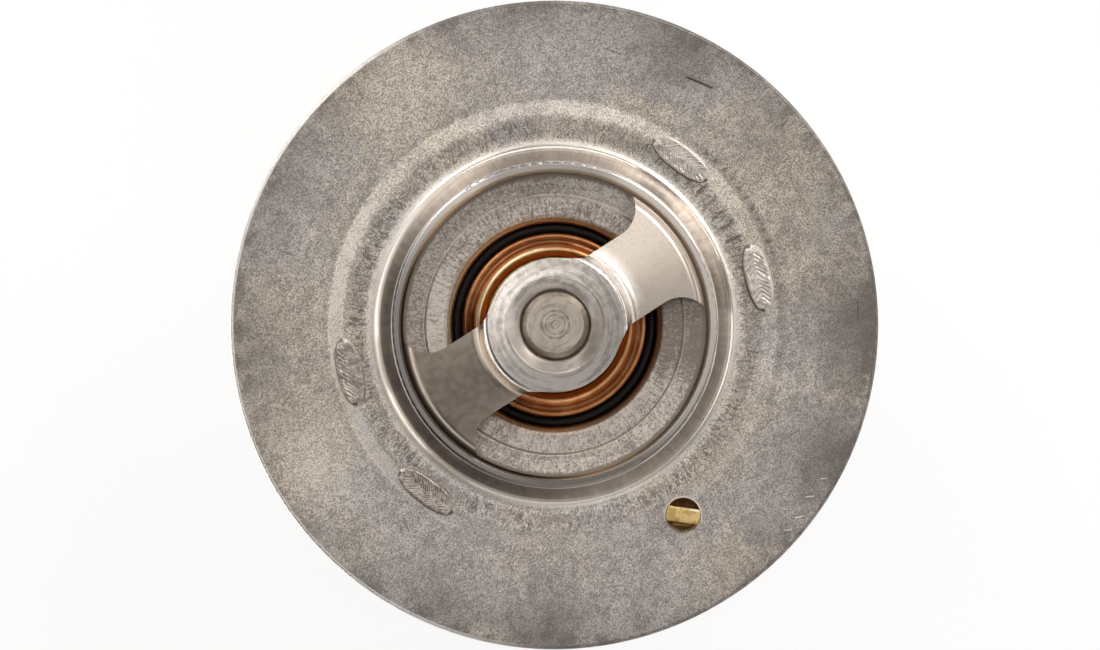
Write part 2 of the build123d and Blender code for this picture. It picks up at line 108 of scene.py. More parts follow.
class Tree:
    # a node tree whose nodes all come from one method
    def __init__(self, tree, prefix="ShaderNode"):
        self.tree = tree
        self.prefix = prefix
        tree.nodes.clear()

    def node(self, kind, settings=None, inputs=None, output=0):
        name = kind if kind.startswith(("Shader", "Node")) else self.prefix + kind
        made = self.tree.nodes.new(name)
        for key, value in (settings or {}).items():
            setattr(made, key, value)
        for key, value in (inputs or {}).items():
            socket = made.inputs[key]
            if isinstance(value, Wire):
                self.tree.links.new(value.socket, socket)
            elif socket.type == "RGBA" and len(value) == 3:
                socket.default_value = (*value, 1)
            else:
                socket.default_value = value
        return Wire(self, made.outputs[output]) if made.outputs else made

    def maths(self, operation, *values):
        return self.node("ShaderNodeMath", {"operation": operation}, dict(enumerate(values)))

    def cap(self, value, high=1):
        return self.maths("MINIMUM", value, high)

    def clip(self, value, high=1):
        # between 0 and high
        return self.maths("MAXIMUM", self.cap(value, high), 0)

    def ramp(self, value, start, end, low=0, high=1):
        # smooth step from low at start to high at end
        return self.node("ShaderNodeMapRange", {"interpolation_type": "SMOOTHSTEP"},
                         {0: value, 1: start, 2: end, 3: low, 4: high})

    def band(self, value, centre, half, soft):
        # 1 within half of centre, fading to 0 over soft
        away = self.maths("ABSOLUTE", value - centre)
        return self.ramp(away, half, half + soft, 1, 0)

    def vector(self, x, y, z):
        return self.node("ShaderNodeCombineXYZ", inputs={0: x, 1: y, 2: z})

    def split(self, vector):
        made = self.node("ShaderNodeSeparateXYZ", inputs={0: vector}).socket.node
        return [Wire(self, socket) for socket in made.outputs]

    def noise(self, vector, scale, detail=2, roughness=0.5, distortion=0):
        return self.node("ShaderNodeTexNoise",
                         inputs={"Vector": vector, "Scale": scale, "Detail": detail,
                                 "Roughness": roughness, "Distortion": distortion})


class Finish(Tree):
    # a material, with its place on the object in millimetres as x, y, z and polar r, turn
    def __init__(self, name, centre=(0, 0)):
        self.material = bpy.data.materials.new(name)
        self.material.use_nodes = True
        super().__init__(self.material.node_tree)
        place = self.node("TexCoord", output=3)
        self.place = self.node("VectorMath", {"operation": "MULTIPLY_ADD"},
                               {0: place, 1: (1 / mm,) * 3, 2: (-centre[0], -centre[1], 0)})
        self.x, self.y, self.z = self.split(self.place)
        self.r = self.maths("SQRT", self.x * self.x + self.y * self.y + 1e-6)

    def polar(self, around, along, up=0.0):
        # a vector whose noise is around per mm along the circle of 10 mm, along per mm outwards
        reach = 10 * around
        return self.vector(self.x / self.r * reach + self.z * up, self.y / self.r * reach, self.r * along)

    def toward(self, angle, start, end):
        # 1 on the side that faces a bearing: start and end are cosines of the angle away from it
        facing = (self.x * cos(bearing(angle)) + self.y * sin(bearing(angle))) / self.r
        return self.ramp(facing, start, end)

    def away(self, x, y):
        # distance from an upright line
        return self.maths("SQRT", (self.x - x) * (self.x - x) + (self.y - y) * (self.y - y))

    def mix(self, low, high, share):
        return self.node("Mix", {"data_type": "RGBA"}, {0: share, 6: low, 7: high}, 2)

    def surface(self, colour, roughness, height=None, relief=0.02, metallic=1.0, **settings):
        # relief is the bump's depth in mm
        inputs = {"Base Color": colour, "Roughness": roughness, "Metallic": metallic, **settings}
        if height is not None:
            inputs["Normal"] = self.node("Bump", inputs={"Strength": 1.0, "Distance": relief * mm,
                                                         "Height": height})
        shader = self.node("BsdfPrincipled", inputs=inputs)
        self.node("OutputMaterial", inputs={0: shader})
        return self.material


class Recipe(Tree):
    # a Geometry Nodes tree with named inputs, run once into a plain mesh
    def __init__(self, name, sizes):
        self.name = name
        self.group = bpy.data.node_groups.new(name, "GeometryNodeTree")
        super().__init__(self.group, "GeometryNode")
        self.group.interface.new_socket("Geometry", in_out="OUTPUT", socket_type="NodeSocketGeometry")
        self.identifiers = {}
        for key, value in sizes.items():
            kind = "NodeSocketInt" if isinstance(value, int) else "NodeSocketFloat"
            socket = self.group.interface.new_socket(key, in_out="INPUT", socket_type=kind)
            self.identifiers[key] = socket.identifier
        self.sizes = sizes
        start = self.tree.nodes.new("NodeGroupInput")
        self.given = {key: Wire(self, start.outputs[key]) for key in sizes}

    def piece(self, geometry, material):
        shaded = self.node("SetShadeSmooth", inputs={"Geometry": geometry})
        real = self.node("RealizeInstances", inputs={"Geometry": shaded})
        painted = self.node("SetMaterial", inputs={"Geometry": real, "Material": material})
        self.node("NodeGroupOutput", inputs={0: painted})
        holder = bpy.data.objects.new(self.name, bpy.data.meshes.new(self.name))
        bpy.context.scene.collection.objects.link(holder)
        modifier = holder.modifiers.new("make", "NODES")
        modifier.node_group = self.group
        for key, value in self.sizes.items():
            modifier[self.identifiers[key]] = value
        bpy.context.view_layer.update()
        graph = bpy.context.evaluated_depsgraph_get()
        mesh = bpy.data.meshes.new_from_object(holder.evaluated_get(graph), depsgraph=graph)
        holder.modifiers.remove(modifier)
        holder.data = mesh
        print(self.name, "made:", len(mesh.polygons), "faces")
        return holder


def paint(node, material):
    # a CAD node's own mesh gets the material
    slots = nodes[node].data.materials
    slots.clear()
    slots.append(material)


camera = {
    "distance": 1.2,            # from the flange, in metres
    "viewWidth": 0.11356,       # of the flange's plane, in metres
    "turn": 32.8,               # of the bridge's arms above the view's horizontal, in degrees
    "lean": 1.03,               # of the line of sight towards the view's left, in degrees
    "aim": (-0.00042, 0.0012),  # along the view's horizontal from the axis, and height, in metres
    "sensor": 36.0,
    "clip": (0.01, 100),
}


def makeCamera(size):
    turn = radians(-size["turn"])
    lean = radians(size["lean"])
    level = Vector((cos(turn), sin(turn), 0))
    up = Vector((-sin(turn), cos(turn), 0))
    back = Vector((0, 0, cos(lean))) - level * sin(lean)
    right = up.cross(back)
    data = bpy.data.cameras.new("camera")
    data.sensor_width = size["sensor"]
    data.lens = size["sensor"] * size["distance"] / size["viewWidth"]
    data.clip_start, data.clip_end = size["clip"]
    made = bpy.data.objects.new("camera", data)
    bpy.context.scene.collection.objects.link(made)
    across, above = size["aim"]
    centre = level * across + Vector((0, 0, above))
    turned = Matrix((right, up, back)).transposed().to_4x4()
    made.matrix_world = Matrix.Translation(centre + back * size["distance"]) @ turned
    bpy.context.scene.camera = made


makeCamera(camera)
bpy.context.scene.view_settings.view_transform = "Standard"
print("camera placed")


studio = {
    "floorHalf": 12.0,
    "floorGap": 0.0082,         # the open valve reaches 8 mm lower
    "floorGlow": 1.17,
    "floorGlowShare": 0.7,
    "paper": ((0.79, 0.79, 0.785), (0.82, 0.82, 0.82)),
    "mottle": 0.02,             # of the paper, per mm
    "light": (1.0, 0.975, 0.945),
    "ambient": 0.24,
    "lowGlow": 0.30,            # pale walls round the table
    "wallTop": (0.27, 0.08),    # sines of the heights where the walls end and where they are full
    # brighter walls: bearing, half width and edge, in degrees, and strength
    "walls": [(188, 35, 25, 2.6), (48, 60, 30, 1.6)],
    # softboxes: bearing, angle from overhead, half size and edge, in degrees, and strength
    "boxes": [
        (133, 15, 5, 16, 1.05),
        (126, 46, 7, 7, 4.0),
        (46, 47, 10, 8, 4.4),
        (33, 28, 7, 9, 0.12),
        (68, 46, 12, 12, 0.5),
        (355, 46, 10, 10, 0.5),
        (292, 30, 8, 7, 1.1),
        (193, 68, 12, 12, 1.2),
        (270, 62, 22, 16, 0.22),
    ],
    "darkSide": (208, 48, 22, 18, 0.06),
}


def bearing(angle):
    # a bearing is in degrees from the view's right, anticlockwise; this is its angle on the object
    return radians(angle - camera["turn"])


def aimed(angle, fall):
    # unit vector at a bearing and an angle from overhead
    side = sin(radians(fall))
    return (cos(bearing(angle)) * side, sin(bearing(angle)) * side, cos(radians(fall)))


def makeWorld(size):
    world = bpy.data.worlds.new("studio")
    bpy.context.scene.world = world
    world.use_nodes = True
    sky = Tree(world.node_tree)
    direction = sky.node("TexCoord", output=0)

    def facing(vector, angle, fall, half, soft, strength=1):
        nearness = sky.node("VectorMath", {"operation": "DOT_PRODUCT"}, {0: vector, 1: aimed(angle, fall)}, 1)
        return sky.ramp(nearness, cos(radians(half + soft)), cos(radians(half)), 0, strength)

    low = sky.ramp(sky.split(direction)[2], *size["wallTop"])
    level = size["ambient"] + size["lowGlow"] * low
    flat = sky.node("VectorMath", {"operation": "MULTIPLY"}, {0: direction, 1: (1, 1, 0)})
    flat = sky.node("VectorMath", {"operation": "NORMALIZE"}, {0: flat})
    for angle, half, soft, strength in size["walls"]:
        level = level + low * facing(flat, angle, 90, half, soft, strength)
    *where, depth = size["darkSide"]
    level = level * (1 - (1 - depth) * facing(direction, *where))
    for *where, strength in size["boxes"]:
        level = level + strength * facing(direction, *where)
    light = sky.node("Background", inputs={"Color": size["light"], "Strength": level})
    sky.node("OutputWorld", inputs={0: light})


def makeFloor(size):
    mesh = bpy.data.meshes.new("floor")
    half = size["floorHalf"]
    height = cadBox[0].z - size["floorGap"]
    corners = [(-half, -half), (half, -half), (half, half), (-half, half)]
    mesh.from_pydata([(x, y, height) for x, y in corners], [], [(0, 1, 2, 3)])
    floor = bpy.data.objects.new("floor", mesh)
    bpy.context.scene.collection.objects.link(floor)
    paper = Finish("floorPaper")
    white = paper.mix(*size["paper"], paper.noise(paper.place, size["mottle"], 3))
    matt = paper.node("BsdfDiffuse", inputs={"Color": white})
    # camera, glossy and transmission rays see the paper glow, and other rays see it lit
    toCamera, glossy, through = [paper.node("LightPath", output=output) for output in (0, 3, 6)]
    seen = paper.cap(toCamera + glossy + through)
    glow = paper.node("Emission", inputs={"Color": (1, 1, 1), "Strength": size["floorGlow"]})
    lit = paper.node("MixShader", inputs={0: seen * size["floorGlowShare"], 1: matt, 2: glow})
    # a camera below the floor sees through it
    below = paper.node("NewGeometry", output=6)
    clear = paper.node("BsdfTransparent")
    both = paper.node("MixShader", inputs={0: below * toCamera, 1: lit, 2: clear})
    paper.node("OutputMaterial", inputs={0: both})
    mesh.materials.append(paper.material)


makeWorld(studio)
makeFloor(studio)
print("studio set")


flangeLook = {
    "cool": (0.82, 0.78, 0.77),
    "warm": (0.93, 0.84, 0.71),
    "rosy": (0.90, 0.78, 0.775),
    "dark": (0.33, 0.295, 0.265),
    # dull is the colour of both wear and painted shade
    "dullAndShade": (0.17, 0.15, 0.135),
    "scuff": (0.10, 0.085, 0.075),
    "burnished": (0.86, 0.775, 0.69),
    "burnishedEdge": 18.9,
    "highlightPale": (1.0, 0.94, 0.87),
    "rimHighlightPale": (1, 0.97, 0.93),
    "nickPale": (0.95, 0.93, 0.90),
    "holeHighlight": (1, 0.96, 0.92),
    "holeShadow": (0.14, 0.07, 0.04),
    "worms": (2.6, 3.9),        # two sets of fine wandering marks, per mm
    "grain": 7.0,               # fine grain, per mm
    "cloud": 0.5,
    "sweep": 0.15,              # soft uneven tarnish, per mm
    "grainRelief": 0.012,
    "roughness": 0.40,
    "topFace": 0.6,             # marks from use lie above this height
    # rings: distance from the axis, half width, edge and strength, darker or, below 0, lighter
    # the two lighter rings are painted highlights, beside the collar's foot and on the bead
    "rings": ((20.3, 0.5, 0.7, 0.20), (23.7, 0.1, 0.5, 0.12), (25.9, 0.1, 0.6, 0.08),
              (18.95, 0.2, 0.9, -0.42), (22.5, 0.4, 0.6, -0.18)),
    "streaks": (20.3, 0.8, 0.8),
    # rows of short press marks: marks per radian, bearing of the row's middle, distance from the axis,
    # half length and edge in mm, half the row's angle in degrees, strength
    "ticks": ((13.7, 38, 20.9, 0.7, 0.4, 12, 0.60), (19.0, 34, 24.0, 0.12, 0.2, 17, 0.50)),
    # painted shade on the collar's darker sides: bearing, its spread as two cosines, strength on lip and wall
    "collarShading": ((232, -0.4, 0.6, 0.78, 0.0), (208, 0.1, 0.85, 0.0, 0.85), (310, 0.4, 0.95, 0.2, 0.28),
                    (92, 0.86, 0.97, 0.5, 0.45), (0, 0.8, 0.97, 0.1, 0.25)),
    "lip": (16.8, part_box("flange")[1].z / mm - 0.3),     # its outer radius and lowest height
    "wall": 18.1,                                        # radius of its foot
    "foot": (18.45, 0.25, 0.25),
    # darker towards the rim: from and to distance from the axis, and strength
    "darkerToRim": (25.5, 33.4, 0.26),
    "rimWear": (31.4, 33.2),
    "rimEdge": 33.05,
    # the side of the rim that gets a painted highlight: bearing and its spread as two cosines
    "rimHighlightSide": (190, 0.1, 0.7),
    "ventEdge": 1.80,           # radius of the vent hole's bright edge
    # painted highlight and painted shade on one side of a ring: distance from the axis, half width, edge,
    # bearing, its spread as two cosines, and strength, darker or, below 0, lighter
    "ringLightAndShade": ((22.6, 0.5, 0.5, 195, 0.5, 0.97, -0.55), (22.6, 0.5, 0.5, 25, 0.75, 0.97, 0.22),
                  (20.3, 0.8, 0.6, 105, 0.5, 0.97, -0.20), (23.7, 0.3, 0.4, 20, 0.8, 0.97, 0.16),
                  (20.6, 0.8, 0.5, 38, 0.955, 0.985, -0.24), (18.9, 0.3, 0.4, 175, 0.3, 0.9, -0.40)),
    # patches of tarnish and of painted lamp reflection: bearing, distance from the axis, size and strength,
    # below 0 for a pale patch
    "tarnishAndSheenPatches": [
        (0, 31.0, 9.5, 0.50), (66, 31.0, 8.0, 0.40), (44, 27.0, 6.0, 0.16), (98, 31.5, 6.0, 0.12),
        (152, 31.0, 6.5, 0.20), (186, 30.0, 6.5, 0.16), (248, 31.0, 7.5, 0.24), (268, 31.5, 8.0, 0.38),
        (335, 31.0, 8.5, 0.46), (318, 29.0, 5.0, 0.12), (20.0, 28.0, 6.0, 0.14),
        (122, 30.0, 8.0, -0.36), (212, 30.0, 8.0, -0.46), (296, 30.5, 6.0, -0.16), (40, 20.5, 7.0, -0.20),
        (80, 20.5, 7.0, -0.16),
    ],
    # scratches: x and y of the middle, heading in degrees, half length, half width, all in mm, and strength
    "scratches": [
        (26.2, 12.9, -56, 1.9, 0.12, 1.0), (20.4, 20.5, -54, 1.2, 0.07, 0.6),
        (27.2, -15.7, 57, 1.2, 0.09, 0.5), (31.3, 4.6, 20, 0.6, 0.10, 0.6), (8.6, 24.6, 70, 1.0, 0.05, 0.4),
        (-19.0, 21.0, 130, 1.3, 0.05, 0.5), (-24.0, -9.0, 80, 1.0, 0.05, 0.5),
        (-6.0, -28.5, 15, 1.2, 0.05, 0.5),
    ],
    # bright nicks where the rim was knocked
    "nicks": [
        (10.6, -30.4, -20, 0.55, 0.07, 0.9), (8.9, -30.9, -24, 0.45, 0.06, 0.8),
        (12.6, -29.2, -28, 0.50, 0.06, 0.9), (14.8, -28.4, -30, 0.40, 0.06, 0.7),
        (-9.0, 29.9, 100, 0.35, 0.06, 0.7),
    ],
}


# in mm
ventCentre = tuple(sum(corner[axis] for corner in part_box("jiggle_pin")) / 2 / mm for axis in (0, 1))


def strokes(f, marks):
    # soft dark or bright lines, each from its middle, heading, half length and half width
    total = 0
    for x, y, heading, half, width, strength in marks:
        c, s = cos(radians(heading)), sin(radians(heading))
        along = (f.x - x) * c + (f.y - y) * s
        across = (f.y - y) * c - (f.x - x) * s
        mark = f.band(along, 0, half * 0.6, half * 0.4) * f.band(across, 0, width * 0.5, width) * strength
        total = f.maths("MAXIMUM", total, mark)
    return total


def worms(f, scale, half, soft, bend=1.4):
    # fine marks that wander like the contours of a map
    return f.band(f.noise(f.place, scale, 1, 0.5, bend), 0.5, half, soft)


def tarnishAndReflections(f, look, cloud):
    # how much the large soft patches, tarnish and painted reflections of the lamps, darken the plate, or
    # lighten it below 0
    sweep = f.noise(f.place, look["sweep"], 2, 0.6, 2.2)
    tarnish = f.ramp(sweep, 0.40, 0.60, 0.05, -0.05)
    for angle, reach, size, strength in look["tarnishAndSheenPatches"]:
        away = f.away(reach * cos(bearing(angle)), reach * sin(bearing(angle)))
        tarnish = tarnish + f.ramp(away + cloud * 5, size + 2.5, 2.5, 0, strength)
    return tarnish


def pressMarksAndRingLight(f, look, grain, streak):
    # how much the rows of ticks and the rings that the press left darken the plate, with painted highlights
    # and painted shade on the rings, which lighten it below 0
    turn = f.maths("ARCTAN2", f.y, f.x)
    dullAndShade = 0
    for count, centre, radius, half, soft, angle, strength in look["ticks"]:
        beat = f.maths("FRACT", (turn + streak * 0.03) * count)
        row = f.band(beat, 0.5, 0.07, 0.13) * f.band(f.r + grain * 0.5, radius, half, soft)
        dullAndShade = dullAndShade + row * f.toward(centre, cos(radians(angle + 3)), cos(radians(angle))) * strength
    for radius, half, soft, strength in look["rings"]:
        dullAndShade = dullAndShade + f.band(f.r, radius, half, soft) * strength
    for radius, half, soft, angle, start, end, strength in look["ringLightAndShade"]:
        dullAndShade = dullAndShade + f.band(f.r, radius, half, soft) * f.toward(angle, start, end) * strength
    return dullAndShade


def collarColour(f, look, lathe):
    # the drawn collar's burnished metal, with a painted highlight at its foot and painted shade on its darker
    # sides
    radius, low = look["lip"]
    lip = (f.z > low) * f.ramp(f.r, radius, radius - 0.1)
    wall = f.ramp(f.r, look["wall"], look["wall"] - 0.2) * (1 - lip)
    collarShade = 0
    for angle, start, end, onLip, onWall in look["collarShading"]:
        collarShade = collarShade + f.toward(angle, start, end) * (lip * onLip + wall * onWall)
    # the foot gets a painted highlight, weaker towards two bearings
    foot = f.band(f.r, *look["foot"]) * (1 - f.toward(40, 0.8, 0.97) - f.toward(200, 0.4, 0.9) * 0.4)
    colour = f.mix(look["burnished"], look["cool"], f.ramp(lathe, 0.45, 0.60))
    colour = f.mix(colour, look["highlightPale"], foot)
    return f.mix(colour, look["dullAndShade"], f.cap(collarShade, 0.9))


def ventHoleLight(f, look, colour, above):
    # a painted highlight on the hole's far edge, and painted brown shadow inside it, strongest on the far
    # side
    x, y = f.x - ventCentre[0], f.y - ventCentre[1]
    away = f.away(*ventCentre)
    far = (y * cos(bearing(0)) - x * sin(bearing(0))) / away
    edge = f.band(away, look["ventEdge"] + 0.07, 0.06, 0.05) * f.ramp(far, -0.5, 0.4) * above
    inside = f.ramp(away, look["ventEdge"], look["ventEdge"] - 0.06) * f.ramp(far, -0.9, 0.1, 0.35, 1)
    return f.mix(f.mix(colour, look["holeHighlight"], edge), look["holeShadow"], inside)


def flangeSteel(look):
    f = Finish("flangeSteel")
    coarse, close = look["worms"]
    darkMark = worms(f, coarse, 0.025, 0.08)
    paleMark = worms(f, close, 0.020, 0.08, 1.0)
    grain = f.noise(f.place, look["grain"], 1, 0.5, 0.6)
    patch = f.noise(f.place, 0.06, 3, 0.55, 0.4)
    cloud = f.noise(f.place, look["cloud"], 3, 0.6)
    tint = f.noise(f.place, 0.9, 2, 0.6, 0.5)
    streak = f.noise(f.polar(6.0, 1.3), 1.0, 2, 0.6, 1.2)
    lathe = f.noise(f.polar(0.05, 3.5, 0.8), 1.0, 2, 0.5)
    outside = f.ramp(f.r, look["burnishedEdge"] - 0.5, look["burnishedEdge"] + 0.3)
    streakZone = f.band(f.r, *look["streaks"]) * f.ramp(cloud, 0.38, 0.56, 0.35, 1)
    edge = f.ramp(f.r, look["rimEdge"], look["rimEdge"] + 0.12)
    # bright is a painted highlight along the rim on one side
    bright = edge * f.toward(*look["rimHighlightSide"])
    above = f.z > look["topFace"]
    # shade is the fine marks; dull is what the press and the years left together with painted reflections and
    # painted shade, and it is pale, a painted highlight, where below 0
    shade = 0.36 + darkMark * 0.34 - paleMark * 0.30 + f.ramp(grain, 0.34, 0.66, 0.50, -0.30)
    shade = shade + f.ramp(cloud, 0.62, 0.36, -0.04, 0.16) + f.ramp(tint, 0.62, 0.40, -0.06, 0.10)
    # tarnish here holds both real tarnish and painted reflections of the lamps
    tarnish = tarnishAndReflections(f, look, cloud)
    wear = f.ramp(f.r, *look["rimWear"]) * f.ramp(cloud, 0.56, 0.40, 0, 0.40)
    start, end, strength = look["darkerToRim"]
    dullAndShade = 0.08 + tarnish + pressMarksAndRingLight(f, look, grain, streak) + f.ramp(f.r, start, end, 0, strength)
    dullAndShade = dullAndShade + streakZone * f.ramp(streak, 0.52, 0.42, -0.10, 0.60)
    dullAndShade = dullAndShade + wear * f.ramp(darkMark + grain, 0.40, 0.75)
    shade = f.clip((shade + f.cap(dullAndShade, 0) * 0.6) * (1 - bright))
    # painted highlight: where dull is below 0 the plate is lifted towards a pale colour
    paintedLift = f.clip(0 - dullAndShade, 0.52) * (1 - darkMark * 0.5) * f.ramp(grain, 0.34, 0.62, 0.50, 1.10)
    colour = f.mix(look["cool"], look["warm"], f.ramp(patch + tint * 0.3 - tarnish * 0.35, 0.52, 0.74))
    colour = f.mix(colour, look["rosy"], f.ramp(tint, 0.54, 0.70, 0, 0.6))
    colour = f.mix(colour, look["dark"], shade)
    colour = f.mix(colour, look["highlightPale"], paintedLift)
    # edge * 0.3 is painted shade along the rest of the rim
    colour = f.mix(colour, look["dullAndShade"], f.clip((dullAndShade + edge * 0.3) * (1 - bright), 0.85))
    colour = f.mix(colour, look["scuff"], above * strokes(f, look["scratches"]))
    colour = f.mix(colour, look["rimHighlightPale"], bright * 0.7)
    colour = ventHoleLight(f, look, colour, above)
    colour = f.mix(collarColour(f, look, lathe), colour, outside)
    nick = strokes(f, look["nicks"]) * above
    colour = f.mix(colour, look["nickPale"], nick)
    height = (grain * 0.7 + paleMark * 0.35 - darkMark * 0.35 + streak * streakZone * 1.3) * outside
    height = height + (1 - outside) * lathe * 0.12
    roughness = 0.235 + f.ramp(cloud, 0.4, 0.6, 0, 0.03)
    roughness = roughness + f.band(f.r, 18.5, 0.4, 0.3) * f.toward(190, 0.2, 0.8) * 0.14
    roughness = roughness + outside * (look["roughness"] - 0.25 + f.ramp(grain, 0.3, 0.7, 0.06, -0.05))
    return f.surface(colour, roughness - nick * 0.2 - bright * 0.1, height, look["grainRelief"])


bridgeLook = {
    "pale": (0.59, 0.515, 0.445),
    "leftArmPaintedLift": (0.84, 0.72, 0.60),
    "shade": (0.52, 0.47, 0.42),
    "hubPale": (0.92, 0.865, 0.82),
    "bendHighlight": (0.97, 0.93, 0.88),
    "deepSpeckAndShade": (0.28, 0.24, 0.205),
    "hubTop": (9.2, 9.9),       # heights between which the arms' finish becomes the hub's
    "funnel": 5.1,
    "neck": 7.5,                # of the bend from hub to arm
    "rim": 14.9,
}


def bridgeSteel(look):
    f = Finish("bridgeSteel")
    mottle = f.noise(f.place, 1.3, 2, 0.5, 0.5)
    speck = f.noise(f.place, 6.5, 2, 0.6)
    turned = f.noise(f.polar(0.12, 2.0), 1.0, 3, 0.6)
    blemish = f.noise(f.place, 0.8, 2, 0.5)
    hub = f.ramp(f.z, *look["hubTop"])
    arm = 1 - hub
    funnel = hub * f.ramp(f.r, look["funnel"] + 0.25, look["funnel"] - 0.1)
    marked = f.ramp(f.x, -6, 6)             # the right arm is more marked than the left
    # painted light: the left arm gets a paler colour than the right, brightening the arm that faces away from
    # the brightest lamps
    colour = f.mix(f.mix(look["leftArmPaintedLift"], look["pale"], marked), look["hubPale"], hub)
    colour = f.mix(colour, look["shade"], f.ramp(mottle, 0.40, 0.68, 0, 0.3) * (0.15 + marked * 0.85 + hub)
                   + hub * f.ramp(turned, 0.44, 0.60, 0, 0.60))
    # painted shade on the funnel towards three bearings, and on the bends at the neck and rim that face the
    # lower left
    sideShade = funnel * (f.toward(348, 0.5, 0.95) * 0.85 + f.toward(232, 0.6, 0.95) * 0.75
                    + f.toward(300, 0.8, 0.98) * 0.35)
    bend = f.band(f.r, look["neck"], 0.7, 0.4) * 0.8 + f.ramp(f.r, look["rim"] - 0.2, look["rim"]) * 0.85
    sideShade = sideShade + bend * f.toward(213, 0.3, 0.8) * (1 - hub * f.ramp(f.r, look["neck"] + 0.3, look["neck"]))
    colour = f.mix(colour, look["deepSpeckAndShade"], sideShade)
    # painted highlight: a pale glare on the upper right arm's bend beside the hub
    bendGlare = f.ramp(f.r, look["neck"] + 2.4, look["neck"] + 0.8) * f.toward(42, 0.80, 0.97) * arm
    colour = f.mix(colour, look["bendHighlight"], bendGlare * f.ramp(mottle, 0.30, 0.60, 1, 0.75))
    specks = f.ramp(speck, 0.53, 0.68, 0, 0.50) * f.ramp(blemish, 0.36, 0.58, 0.25, 1)
    colour = f.mix(colour, look["deepSpeckAndShade"], specks * marked * arm)
    height = (mottle * 0.3 + speck * 0.2) * marked + hub * turned * 0.6
    # above 0.28 on the arms: the denoiser speckles a metal whose roughness crosses 0.274
    roughness = 0.285 + f.ramp(mottle, 0.35, 0.65, 0, 0.04) - hub * 0.06 + funnel * 0.20
    return f.surface(colour, roughness, height, 0.006)


pistonLook = {
    "pale": (0.63, 0.56, 0.49),
    "dark": (0.29, 0.245, 0.205),
    # turned rings of the end face: radius, half width, depth
    "rings": ((0.42, 0.10, 0.6), (0.98, 0.08, 0.5), (1.42, 0.12, 0.65), (2.15, 0.06, 0.2)),
    "endFace": 9.9,
}


def pistonSteel(look):
    f = Finish("pistonSteel")
    lathe = f.noise(f.polar(0.10, 2.0, 0.6), 1.0, 2, 0.6)
    dirt = f.noise(f.place, 1.3, 3, 0.6, 0.5)
    shade = f.ramp(lathe, 0.46, 0.64, 0, 0.35) + f.ramp(dirt, 0.48, 0.66, 0, 0.30)
    groove = f.band(f.r, 0.1, 0.06, 0.06) * 0.5
    for radius, half, depth in look["rings"]:
        groove = groove + f.band(f.r, radius, half * 0.5, half) * depth
    end = f.z > look["endFace"]
    shade = f.cap(shade + end * groove * f.ramp(dirt, 0.40, 0.56, 0.35, 1))
    colour = f.mix(look["pale"], look["dark"], shade)
    height = lathe * 0.8 - end * groove * 1.2
    roughness = 0.30 + f.ramp(lathe, 0.4, 0.6, 0, 0.08)
    return f.surface(colour, roughness, height, 0.012)


valveLook = {
    "pale": (0.76, 0.695, 0.63),
    "dark": (0.28, 0.24, 0.21),
    "step": 13.25,              # the coined ring
    "stepHighlight": (1, 0.96, 0.92),
    # painted shadow under the bridge's rim: from and to distance from the axis
    "edge": (15.1, 15.5),
    "streaks": (12.2, 0.9, 0.6),
    # painted reflection of the copper capsule round its neck, with painted shade on one side and painted
    # highlight on the other
    "brown": (0.66, 0.38, 0.21),
    "copperReflectionShaded": (0.13, 0.075, 0.045),
    "copperReflectionLit": (0.86, 0.58, 0.38),
    "copperReflectionEdge": 10.60,
    "grain": 4.4,
}


def valveSteel(look):
    f = Finish("valveSteel")
    darkMark = worms(f, 2.2, 0.025, 0.08)
    grain = f.noise(f.place, look["grain"], 1, 0.5, 0.8)
    cloud = f.noise(f.place, 0.45, 3, 0.6)
    streak = f.noise(f.polar(5.0, 1.1), 1.0, 2, 0.6, 0.9)
    hoop = f.noise(f.polar(0.12, 1.4), 1.0, 2, 0.5)
    land = f.ramp(f.r, look["step"] - 0.1, look["step"] + 0.2)
    inner = 1 - land
    brushed = f.band(f.r, *look["streaks"])
    # painted highlight on the step's slanted face, which would otherwise show as a dark line
    stepFaceLift = f.band(f.r, look["step"] + 0.12, 0.10, 0.06) * 0.38
    shade = 0.12 + darkMark * 0.26 + f.ramp(grain, 0.36, 0.64, 0.46, -0.08)
    shade = shade + (brushed + land * 0.5) * f.ramp(streak, 0.54, 0.40, -0.10, 0.40) + land * 0.08
    # painted shadow along the outer edge, where it runs under the bridge's rim
    shade = shade + f.ramp(f.r, *look["edge"], 0, 0.8) - stepFaceLift
    shade = shade + f.ramp(hoop, 0.50, 0.64, 0, 0.16) + f.ramp(cloud, 0.5, 0.66, 0, 0.2)
    # painted light: a painted highlight on the inner part at bearing 178, lit brightens the sides that catch
    # the lamps, and the side at bearing 2 gets a painted shadow of an arm
    highlightSide = f.toward(178, 0.86, 0.98)
    lit = f.toward(290, 0.5, 0.9) * (1 - land * 0.7) + f.toward(55, 0.8, 0.98) * land + highlightSide * inner * 1.5
    shade = f.clip(shade - lit * 0.32 + f.toward(2, 0.86, 0.97) * 0.5)
    colour = f.mix(look["pale"], look["dark"], shade)
    # painted reflection of the copper capsule, darker on one side and paler on the other, faded where the
    # painted highlight lies
    brown = f.mix(look["brown"], look["copperReflectionShaded"], f.toward(335, 0.5, 0.95) * 0.8)
    brown = f.mix(brown, look["copperReflectionLit"], f.toward(150, 0.5, 0.95))
    copperReflectionShare = f.ramp(f.r + cloud * 0.5, look["copperReflectionEdge"] + 1.3, look["copperReflectionEdge"] + 0.1)
    colour = f.mix(colour, brown, copperReflectionShare * (1 - highlightSide * 0.8))
    colour = f.mix(colour, look["stepHighlight"], stepFaceLift)
    height = grain * 0.9 - darkMark * 0.4 + streak * brushed * 1.2 + hoop * 0.4
    return f.surface(colour, 0.36 + f.ramp(grain, 0.35, 0.65, 0.05, -0.04) + stepFaceLift * 0.2, height, 0.010)


